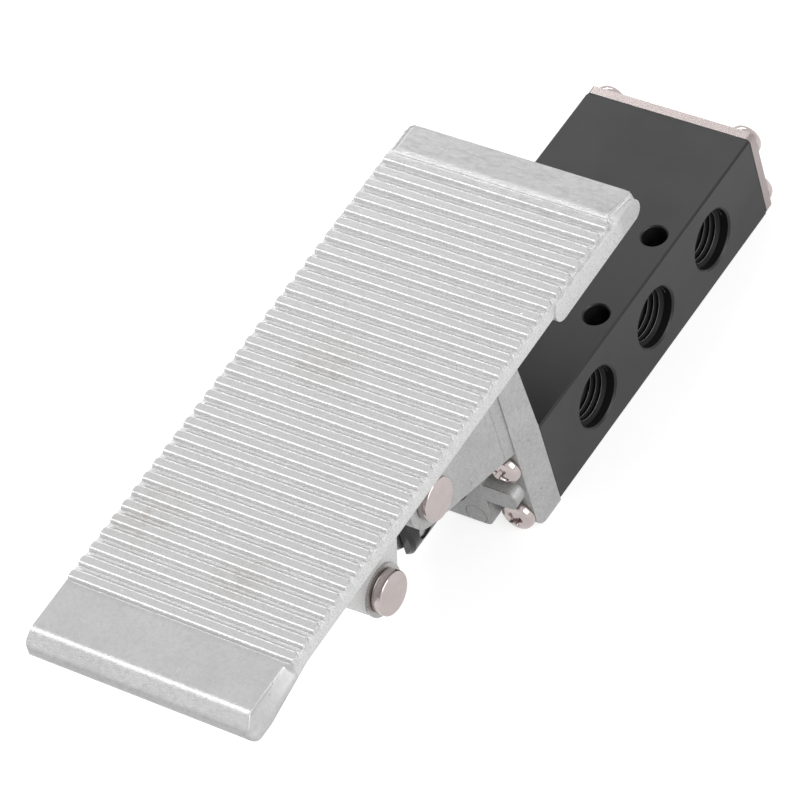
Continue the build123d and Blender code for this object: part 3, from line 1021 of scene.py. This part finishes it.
def pedal_metal(name, colour, roughness, metallic):
    """The pedal's cast metal, grained, streaked, dulled and rubbed differently on its ribs, rear flat,
    sides and lip, with painted light and highlights on the ribs.
    """
    finish = cast_metal(name, colour, roughness, metallic, 0.9)
    grain = finish.noise(0.28, 4.0)
    grain_ribs_and_paint_light(finish, colour, grain)
    streak_rear(finish, colour)
    dull_sides(finish, roughness)
    grain_lip(finish, colour, grain)
    rub_plate(finish)
    return finish


def anodised(name, colour, roughness, specular=0.5):
    """Satin black anodising with a fine blasted grain and slight wear in tone."""
    finish = Finish(name, colour, roughness=roughness, specular=specular)
    broad = finish.noise(14.0, 3.0)
    finish.tint(finish.rise(broad, 0.35, 0.7), shade(colour, 0.85))
    fine = finish.noise(0.16, 2.0)
    finish.tint(finish.rise(fine, 0.5, 0.8, 0.4), shade(colour, 1.4))
    finish.rough(finish.ranged(broad, 0.3, 0.7, roughness - 0.04, roughness + 0.05))
    finish.bump(fine, 0.008)
    return finish


def plated(name, colour, roughness, grain=0.003):
    """Bright plated metal with faint clouding and very fine scratches."""
    finish = Finish(name, colour, metallic=1.0, roughness=roughness)
    broad = finish.noise(3.0, 3.0)
    finish.tint(finish.rise(broad, 0.35, 0.7), shade(colour, 0.93))
    scratches = finish.noise(0.5, 2.0, stretch=(1, 1, 8))
    finish.rough(finish.ranged(scratches, 0.3, 0.7, roughness - 0.03, roughness + 0.05))
    finish.bump(scratches, grain)
    return finish


def rubber_like(name, colour, roughness):
    """Moulded rubber or plastic with a soft uneven skin."""
    finish = Finish(name, colour, roughness=roughness)
    broad = finish.noise(2.5, 3.0)
    finish.tint(finish.rise(broad, 0.3, 0.7), shade(colour, 0.8))
    finish.rough(finish.ranged(broad, 0.3, 0.7, roughness - 0.08, roughness + 0.08))
    finish.bump(finish.noise(0.4, 3.0), 0.01)
    return finish


warm_nickel = (0.57, 0.50, 0.49)
finishes = {
    "cast_aluminium_pedal": pedal_metal("cast_aluminium_pedal", (0.56, 0.56, 0.56), 0.21, 0.35),
    "cast_aluminium_bracket": bracket_metal("cast_aluminium_bracket", (0.5, 0.505, 0.5), 0.45, 0.3),
    "black_anodised": anodised("black_anodised", (0.0108, 0.0108, 0.0112), 0.4, 0.4),
    "black_stem": anodised("black_stem", (0.012, 0.012, 0.012), 0.28),
    "nickel_plate": plated("nickel_plate", shade(warm_nickel, 0.62), 0.25, 0.001),
    "screw_nickel": plated("screw_nickel", shade(warm_nickel, 0.9), 0.1),
    "pin_nickel": plated("pin_nickel", shade(warm_nickel, 0.89), 0.14),
    "steel": plated("steel", (0.42, 0.41, 0.40), 0.28, 0.006),
    "spring_steel": plated("spring_steel", (0.35, 0.35, 0.36), 0.22),
    "acetal": rubber_like("acetal", (0.55, 0.55, 0.52), 0.4),
    "rubber": rubber_like("rubber", (0.018, 0.018, 0.018), 0.6),
}
# Thread flanks: a darker, less glossy copy of the black anodising, painted shade inside the ports.
shaded_thread_flank = anodised("shaded_thread_flank", (0.009, 0.009, 0.009), 0.5, 0.2)
# Thread crests: light grey, a painted highlight along each crest.
thread_crest_highlight = anodised("thread_crest", (0.6, 0.6, 0.6), 0.3)


def dress_cad_nodes():
    """Gives every CAD node the finish made for each of its record slots."""
    for thing in cad_nodes.values():
        for material_slot in thing.material_slots:
            material_slot.material = finishes[material_slot.material.name].material


# Stage, light and camera


def white_to_camera(nodes, links):
    """A value of 1 for camera, glossy and transmission rays, and 0 for the rest."""
    path = nodes.new("ShaderNodeLightPath")
    total = path.outputs["Is Camera Ray"]
    for name in ("Is Glossy Ray", "Is Transmission Ray"):
        adder = nodes.new("ShaderNodeMath")
        adder.operation = "ADD"
        adder.use_clamp = True
        links.new(total, adder.inputs[0])
        links.new(path.outputs[name], adder.inputs[1])
        total = adder.outputs["Value"]
    return total


def build_world():
    """An even pale surrounding that is white where it is seen and softer where it lights."""
    world = bpy.data.worlds.new("studio")
    bpy.context.scene.world = world
    world.use_nodes = True
    nodes, links = world.node_tree.nodes, world.node_tree.links
    strength = nodes.new("ShaderNodeMapRange")
    strength.inputs["To Min"].default_value = world_level
    strength.inputs["To Max"].default_value = 1.0
    links.new(white_to_camera(nodes, links), strength.inputs["Value"])
    background = nodes["Background"]
    background.inputs["Color"].default_value = (1, 1, 1, 1)
    links.new(strength.outputs["Result"], background.inputs["Strength"])


def build_floor():
    """A white floor under the valve body that still takes a faint shadow."""
    corners = ((-1, -1), (1, -1), (1, 1), (-1, 1))
    points = [(a * floor_reach, b * floor_reach, -floor_drop) for a, b in corners]
    floor = new_piece("floor", points, [(0, 1, 2, 3)])
    material = bpy.data.materials.new("floor")
    material.use_nodes = True
    nodes, links = material.node_tree.nodes, material.node_tree.links
    shader = nodes["Principled BSDF"]
    shader.inputs["Base Color"].default_value = (floor_grey, floor_grey, floor_grey, 1)
    shader.inputs["Roughness"].default_value = floor_roughness
    shader.inputs["Specular IOR Level"].default_value = 0.0
    shader.inputs["Emission Color"].default_value = (1, 1, 1, 1)
    glow = nodes.new("ShaderNodeMath")
    glow.operation = "MULTIPLY"
    glow.inputs[1].default_value = floor_glow
    links.new(white_to_camera(nodes, links), glow.inputs[0])
    links.new(glow.outputs["Value"], shader.inputs["Emission Strength"])
    floor.data.materials.append(material)


def soft_light(name, place, size, power):
    """A rectangular soft light at a place in millimetres, turned to the part."""
    light = bpy.data.lights.new(name, "AREA")
    light.shape = "RECTANGLE"
    light.size, light.size_y = (side * MM for side in size)
    light.energy = power
    thing = added(name, light)
    thing.location = Vector(place) * MM
    towards = (Vector(lamp_aim) - Vector(place)).normalized()
    thing.rotation_euler = towards.to_track_quat("-Z", "Y").to_euler()


def build_lights():
    """A broad key on the right, a soft light above left, a strip behind for the ribs' lines and a fill."""
    for name, (place, size, power) in lamps.items():
        soft_light(name, place, size, power)


def build_camera():
    """The camera at the photograph's place, angle and focal length."""
    lens = bpy.data.cameras.new("camera")
    lens.sensor_width = camera_sensor
    lens.lens = camera_lens
    lens.clip_end = camera_reach
    thing = added("camera", lens)
    thing.location = camera_place
    thing.rotation_euler = Euler([radians(a) for a in camera_turn], "XYZ")
    bpy.context.scene.camera = thing


dress_cad_nodes()
build_pedal()
build_screws()
build_pins()
build_bracket()
build_threads()
build_spring()
build_floor()
build_world()
build_lights()
build_camera()
bpy.context.scene.view_settings.view_transform = "Standard"
